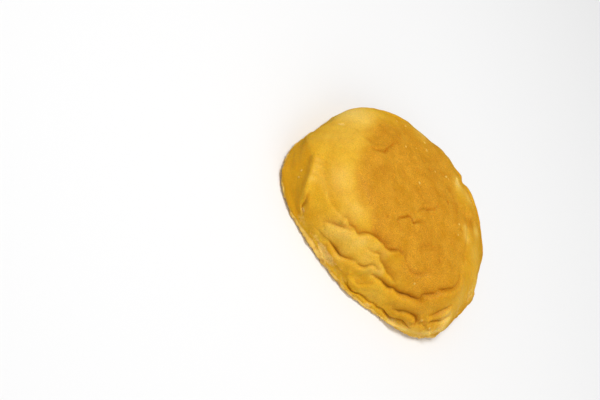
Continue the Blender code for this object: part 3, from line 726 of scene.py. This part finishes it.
def make_crust():
    """The crust: skin grid from the top's middle to the torn edge, a rounded lip, and a hidden underside."""
    reach, angle = square_on_disc(CRUST_CELLS)
    rim = edge_of_square(CRUST_CELLS)
    flat_angle = angle.ravel()
    ends = torn_edge(flat_angle)
    skin = (CENTRE_STRETCH * reach - (CENTRE_STRETCH - 1) * reach**2).ravel() * ends
    point, crease, scuffed = crust_point(flat_angle, skin)
    # browning, with a few patches of painted shade
    brown = brown_and_shade_share(flat_angle, skin, point)
    torn = smooth_step(*TORN_PALES, ends - skin)
    # bare patches, a few of them painted highlights, turn the crust pale like its torn edge
    bare = patches_of(flat_angle, skin, BARE_AND_LIT_PATCHES) + layered_noise(point, BARE_RAGGED)
    torn = np.maximum(torn + smooth_step(*BARE_EDGE, bare), SCUFF_PALE * scuffed)
    disc = point.reshape(*reach.shape, 3)
    edge, turn = disc[rim], angle[rim]
    normal = outward(turn, torn_edge(turn))
    down = np.cross(normal, np.stack([-np.sin(turn), np.cos(turn), 0 * turn], axis=-1))
    down *= -np.sign(down[:, 2:])
    rings = [edge + LIP_THICK * (along * down - deep * normal) for along, deep in LIP_RINGS]
    rings.append(drawn_in(rings[-1], *LAST_RING))
    # paler patches, partly painted highlights on crests, the shoulder and the flake at the foot
    pale = patches_of(flat_angle, skin, PALE_AND_HIGHLIGHT_PATCHES)
    pressed = pressed_share(flat_angle, skin, point)
    # crease holds the painted shade of creases, pits, wrinkles and crag hollows
    values = {"browning_and_shade": brown, "paleness_and_highlight": pale, "pressed": pressed, "crease": crease / MM, "torn": torn}
    return closed_shell("crust", disc, rings, values)


def make_specks():
    """Pale specks stuck to the crust: squashed balls, each ring r = sin(latitude), made lumpy at random."""
    draw = np.random.default_rng(SPECK_SEED)
    placed_turn, placed_skin, placed_size = np.array(SPECKS).T
    turn = np.append(np.radians(placed_turn), draw.uniform(-np.pi, np.pi, MORE_SPECKS))
    skin = np.append(placed_skin * MM, MORE_SPECKS_WITHIN * np.sqrt(draw.uniform(0, 1, MORE_SPECKS)))
    size = np.append(placed_size * MM, draw.uniform(*SPECK_RADIUS, MORE_SPECKS))
    seat, _, _ = crust_point(turn, skin)
    normal = outward(turn, skin)
    side = unit(np.cross(normal, [0.3, 0.9, 0.1]))
    ahead = np.cross(normal, side)
    latitude = np.linspace(0, np.pi, SPECK_RINGS + 2)[1:-1, None]
    longitude = np.arange(SPECK_ROUND) * 2 * np.pi / SPECK_ROUND
    ball = np.stack([np.sin(latitude) * np.cos(longitude), np.sin(latitude) * np.sin(longitude),
                     np.cos(latitude) + 0 * longitude], axis=-1).reshape(-1, 3)
    ball = np.concatenate([ball, [[0, 0, 1], [0, 0, -1]]])
    stretch = draw.uniform(*SPECK_STRETCH, (len(turn), 3)) * SPECK_SQUASHED
    lumpy = 1 + SPECK_LUMPY * draw.uniform(-1, 1, (len(turn), len(ball)))
    local = ball[None] * stretch[:, None] * lumpy[..., None] * size[:, None, None]
    place = (seat[:, None] + local[..., :1] * side[:, None] + local[..., 1:2] * ahead[:, None]
             + local[..., 2:] * normal[:, None])
    index = np.arange(SPECK_RINGS * SPECK_ROUND).reshape(SPECK_RINGS, SPECK_ROUND)
    beside = np.roll(index, -1, axis=1)
    quads = np.stack([index[:-1], index[1:], beside[1:], beside[:-1]], axis=-1).reshape(-1, 4)
    upper_end, lower_end = np.full(SPECK_ROUND, index.size), np.full(SPECK_ROUND, index.size + 1)
    top = np.stack([upper_end, index[0], beside[0]], axis=-1)
    bottom = np.stack([lower_end, beside[-1], index[-1]], axis=-1)
    first = (np.arange(len(turn)) * len(ball))[:, None, None]
    caps = (np.concatenate([top, bottom]) + first).reshape(-1, 3)
    return new_piece("specks", place.reshape(-1, 3), (quads + first).reshape(-1, 4).tolist() + caps.tolist())


def make_crumb():
    """The crumb: from the middle of the foot out to its edge, up the torn wall and behind the crust."""
    reach, angle = square_on_disc(CRUMB_CELLS)
    turn = angle.ravel()
    edge = torn_edge(turn)
    top = edge - CRUMB_OVERLAP
    skin = SKIN_LENGTH - reach.ravel() * (SKIN_LENGTH - top)
    form = bun_form(turn, skin)
    normal = outward(turn, skin)
    relief, _ = main_relief(turn, np.minimum(skin, FOOT_STARTS))
    relief *= smooth_step(*RELIEF_STARTS, FOOT_STARTS - skin)
    pores = np.stack([pit_depth(form, *COARSE_PORES), pit_depth(form, *FINE_PORES)], axis=-1)
    rough = layered_noise(form * CRAGS_SQUEEZED, CRUMB_CRAGS) + layered_noise(form, CRUMB_GRAINS)
    foot = skin >= FOOT_STARTS
    sunk = CRUMB_DRAWN_BACK * smooth_step(*CRUMB_HIDDEN, edge - skin) + pores @ SIDE_PORES + rough
    point = form + normal * (relief - np.where(foot, 0.0, sunk))[:, None]
    lifted = smooth_step(0.0, FOOT_RISES, skin - FOOT_STARTS) * (pores @ FOOT_PORES + np.abs(rough))
    point[foot, 2] = lifted[foot]
    point[:, 2] = np.maximum(point[:, 2], 0.0)
    disc = point.reshape(*reach.shape, 3)[:, ::-1]
    rim = edge_of_square(CRUMB_CELLS)
    # painted shade of the pores, darker in the coarse ones
    pore_shade = (pores * (1.0, FINE_PORE_SHADE)).max(axis=-1).reshape(reach.shape)[:, ::-1]
    return closed_shell("crumb", disc, [drawn_in(disc[rim], *CRUMB_RING)], {"pore_shade": pore_shade})


def set_inputs(tree, made, links):
    """Sets a node's inputs to values, or links them to other nodes' outputs."""
    for key, value in links.items():
        if isinstance(value, bpy.types.NodeSocket):
            tree.links.new(value, made.inputs[key])
        else:
            made.inputs[key].default_value = value


def node(tree, kind, links=None, **settings):
    """A shader node with its inputs set or linked."""
    made = tree.nodes.new(kind)
    for key, value in settings.items():
        setattr(made, key, value)
    set_inputs(tree, made, links or {})
    return made


def mixed_colour(tree, share, first, second, blend="MIX"):
    """One colour over another by a share."""
    made = node(tree, "ShaderNodeMix", {0: share, 6: first, 7: second}, data_type="RGBA", blend_type=blend)
    return made.outputs[2]


def mottled(tree, share, pair):
    """The darker and the paler colour of a pair, mixed by a share."""
    return mixed_colour(tree, share, srgb(pair[0]), srgb(pair[1]))


def scaled(tree, value, factor, plus=0.0):
    """value * factor + plus."""
    return node(tree, "ShaderNodeMath", {0: value, 1: factor, 2: plus}, operation="MULTIPLY_ADD").outputs[0]


def clamped(tree, value, low, high):
    """The value, kept within low and high."""
    return node(tree, "ShaderNodeClamp", {"Value": value, "Min": low, "Max": high}).outputs[0]


def contrasted(tree, value, gain):
    """The value with its difference from a half made gain times larger, kept within 0 and 1."""
    return clamped(tree, scaled(tree, value, gain, (1.0 - gain) / 2), 0.0, 1.0)


def attribute(tree, name):
    """The number that the mesh holds at each point under a name."""
    return node(tree, "ShaderNodeAttribute", attribute_name=name).outputs["Fac"]


def srgb(triple):
    """Linear colour of an sRGB triple, each 0 to 255."""
    share = np.array(triple) / 255
    linear = np.where(share <= 0.04045, share / 12.92, ((share + 0.055) / 1.055) ** 2.4)
    return (*linear, 1.0)


def grey(value):
    """A colour of one linear value in red, green and blue."""
    return (value, value, value, 1.0)


def dry_grain_group():
    """Baked grain: broad mottling and fine pimples as values, and the pimples as a normal too."""
    group = bpy.data.node_groups.new("dry_grain", "ShaderNodeTree")
    for name in ("Mottle size", "Grain size", "Bump"):
        group.interface.new_socket(name, in_out="INPUT", socket_type="NodeSocketFloat")
    for name, kind in (("Mottle", "Float"), ("Grain", "Float"), ("Normal", "Vector")):
        group.interface.new_socket(name, in_out="OUTPUT", socket_type="NodeSocket" + kind)
    given, out = node(group, "NodeGroupInput"), node(group, "NodeGroupOutput")
    place = node(group, "ShaderNodeTexCoord").outputs["Object"]
    for name, detail in (("Mottle", 4.0), ("Grain", 3.0)):
        noise = node(group, "ShaderNodeTexNoise",
                     {"Vector": place, "Scale": given.outputs[name + " size"], "Detail": detail,
                      "Roughness": 0.6}).outputs["Fac"]
        group.links.new(noise, out.inputs[name])
    bump = node(group, "ShaderNodeBump",
                {"Height": noise, "Strength": given.outputs["Bump"], "Distance": 0.1 * MM})
    group.links.new(bump.outputs["Normal"], out.inputs["Normal"])
    return group


def new_material(name):
    """A material, its node tree and its shader."""
    material = bpy.data.materials.new(name)
    material.use_nodes = True
    return material, material.node_tree, material.node_tree.nodes["Principled BSDF"]


def crust_material(group):
    """Golden side, browned top, olive facet, painted shade in the creases, paler torn edge and paler patches,
    some of them painted highlights, under a fine speckle.
    """
    material, tree, shader = new_material("baked_crust")
    grain = node(tree, "ShaderNodeGroup", {"Mottle size": 220.0, "Grain size": 3000.0, "Bump": 0.5},
                 node_tree=group)
    mottle = contrasted(tree, grain.outputs["Mottle"], 2.0)
    fine = contrasted(tree, grain.outputs["Grain"], 2.0)
    paleness_and_highlight = clamped(tree, attribute(tree, "paleness_and_highlight"), 0.0, 1.0)
    brown = scaled(tree, paleness_and_highlight, -0.8, attribute(tree, "browning_and_shade"))
    brown = scaled(tree, scaled(tree, mottle, 0.5, brown), 1.0, -0.25)
    # paler skin and painted highlights turn the golden colour pale
    golden = mixed_colour(tree, paleness_and_highlight, mottled(tree, mottle, GOLDEN), srgb(PALE_SKIN_AND_HIGHLIGHT))
    toasted = mottled(tree, mottle, TOASTED)
    colour = mixed_colour(tree, clamped(tree, brown, 0.0, 1.0), golden, toasted)
    darker = clamped(tree, scaled(tree, brown, 0.6, -0.6), 0.0, 0.6)
    colour = mixed_colour(tree, darker, colour, srgb(DARKEST_BROWN))
    pressed = scaled(tree, attribute(tree, "pressed"), 0.9)
    colour = mixed_colour(tree, pressed, colour, mottled(tree, mottle, OLIVE))
    # painted shade: the crease attribute darkens the colour, thinly where shallow and more where deep
    crease = attribute(tree, "crease")
    shallow_shade = clamped(tree, scaled(tree, crease, 0.5), 0.0, 0.55)
    colour = mixed_colour(tree, shallow_shade, colour, srgb(SHALLOW_CREASE_SHADE))
    deep = clamped(tree, scaled(tree, crease, 0.7, -0.9), 0.0, 0.65)
    colour = mixed_colour(tree, deep, colour, srgb(DEEP_CREASE_SHADE))
    # the torn edge, the bare patches and the painted highlights among them take the pale torn colour
    torn = scaled(tree, attribute(tree, "torn"), scaled(tree, fine, 1.0, 0.35))
    colour = mixed_colour(tree, clamped(tree, torn, 0.0, 0.85), colour, srgb(TORN_FLAKES_AND_HIGHLIGHT))
    speckle = mixed_colour(tree, fine, grey(SPECKLE[0]), grey(SPECKLE[1]))
    colour = mixed_colour(tree, clamped(tree, brown, SPECKLE_LEAST, 1.0), colour, speckle, "MULTIPLY")
    set_inputs(tree, shader, {
        "Base Color": colour, "Roughness": scaled(tree, fine, 0.25, 0.36), "Specular IOR Level": 0.1,
        "Normal": grain.outputs["Normal"], "Subsurface Weight": 0.35, "Subsurface Scale": 1.5 * MM,
        "Subsurface Radius": (1.0, 0.45, 0.1)})
    return material


def crumb_material(group):
    """Pale dry crumb, with painted shade that makes it darker and warmer inside its pores."""
    material, tree, shader = new_material("pale_crumb")
    grain = node(tree, "ShaderNodeGroup", {"Mottle size": 420.0, "Grain size": 2200.0, "Bump": 0.6},
                 node_tree=group)
    colour = mottled(tree, contrasted(tree, grain.outputs["Mottle"], 2.4), DRY_CRUMB)
    colour = mixed_colour(tree, scaled(tree, attribute(tree, "pore_shade"), 0.6), colour, srgb(PORE_SHADE_BROWN))
    set_inputs(tree, shader, {"Base Color": colour, "Roughness": 0.85, "Specular IOR Level": 0.1,
                              "Normal": grain.outputs["Normal"]})
    return material


def settle(pieces):
    """Moves the pieces' points so that the box round them all stands over the middle of the solid's box."""
    point = np.concatenate([read_points(piece) for piece in pieces])
    offset = (LOW + HIGH) / 2 - (point.min(axis=0) + point.max(axis=0)) / 2
    offset[2] = 0.0
    for piece in pieces:
        piece.data.transform(Matrix.Translation(offset))
    return offset


def read_points(piece):
    """A piece's points, one row each."""
    point = np.empty(3 * len(piece.data.vertices))
    piece.data.vertices.foreach_get("co", point)
    return point.reshape(-1, 3)


# The photograph's camera, worked out for a picture 600 wide and 400 high
PICTURE = (600, 400)
LENS = 90.0  # mm on a sensor 36 mm wide
SENSOR = 36.0
LOOKS_DOWN = 38.0  # degrees above the table
ROLL = 65.0  # degrees that the rusk's upright axis leans to the right
AIM_PIXEL = (377, 224)  # where the middle of the foot comes out
PIXELS_PER_MM = 2.66

TABLE_SIZE, TABLE_GREY = 6.0, 0.86
# Soft boxes: direction as the camera sees it (right, up and towards it), size in m, power in W
KEY_LIGHT = ((0.52, 0.5, 0.70), 0.25, 3.1)
FILL_LIGHT = ((0.4, -0.6, 0.7), 0.6, 1.3)
LIGHT_DISTANCE = 0.7
ROOM_STRENGTH = 0.44  # of the white room's own light


def make_camera(middle):
    """A camera that looks down on the rusk, rolled and aimed so that the rusk lies in the frame as shown."""
    focal = LENS / SENSOR * PICTURE[0]
    down, roll = np.radians(LOOKS_DOWN), np.radians(ROLL)
    back = Vector((0, -np.cos(down), np.sin(down)))
    right = Vector((1, 0, 0))
    up = back.cross(right)
    level = Matrix((right * np.cos(roll) + up * np.sin(roll), up * np.cos(roll) - right * np.sin(roll), back))
    towards = Vector(((AIM_PIXEL[0] - PICTURE[0] / 2) / focal, (PICTURE[1] / 2 - AIM_PIXEL[1]) / focal, -1))
    aimed = Vector((0, 0, -1)).rotation_difference(towards.normalized()).to_matrix() @ level
    data = bpy.data.cameras.new("camera")
    data.lens, data.sensor_width, data.clip_start = LENS, SENSOR, 0.01
    camera = new_object("camera", data)
    place = Vector(middle) + back * (focal / PIXELS_PER_MM * MM)
    camera.matrix_world = Matrix.Translation(place) @ aimed.transposed().to_4x4()
    bpy.context.scene.camera = camera
    return aimed.transposed()


def soft_light(name, to_world, direction, size, power):
    """A square soft box that shines at the origin from a direction given in the camera's axes."""
    direction = (to_world @ Vector(direction)).normalized()
    data = bpy.data.lights.new(name, "AREA")
    data.size, data.energy = size, power
    turned = direction.to_track_quat("Z", "Y").to_matrix().to_4x4()
    new_object(name, data).matrix_world = Matrix.Translation(direction * LIGHT_DISTANCE) @ turned


def make_table():
    """The white table that the rusk lies on."""
    bpy.ops.mesh.primitive_plane_add(size=TABLE_SIZE)
    table = bpy.context.object
    table.name = "table"
    material, tree, shader = new_material("white_table")
    set_inputs(tree, shader, {"Base Color": grey(TABLE_GREY), "Roughness": 0.9})
    table.data.materials.append(material)
    table.visible_glossy = False


def make_light(to_world):
    """A white room and two soft boxes, placed by the camera's axes."""
    scene = bpy.context.scene
    scene.world = bpy.data.worlds.new("white_room")
    scene.world.use_nodes = True
    tree = scene.world.node_tree
    set_inputs(tree, tree.nodes["Background"], {"Color": grey(1.0), "Strength": ROOM_STRENGTH})
    scene.world.cycles_visibility.glossy = False
    soft_light("key", to_world, *KEY_LIGHT)
    soft_light("fill", to_world, *FILL_LIGHT)
    scene.view_settings.view_transform = "Standard"


def main():
    """Makes the three pieces, dresses them, and sets table, camera and light."""
    grain = dry_grain_group()
    crust, crumb, specks = make_crust(), make_crumb(), make_specks()
    crust.data.materials.append(crust_material(grain))
    crumb.data.materials.append(crumb_material(grain))
    specks.data.materials.append(crumb.data.materials[0])
    offset = settle([crust, crumb, specks])
    for piece, slot in ((crust, "baked_crust"), (crumb, "pale_crumb"), (specks, "pale_crumb")):
        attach(piece, "root")
        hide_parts("rusk")
    make_table()
    make_light(make_camera(offset))


main()
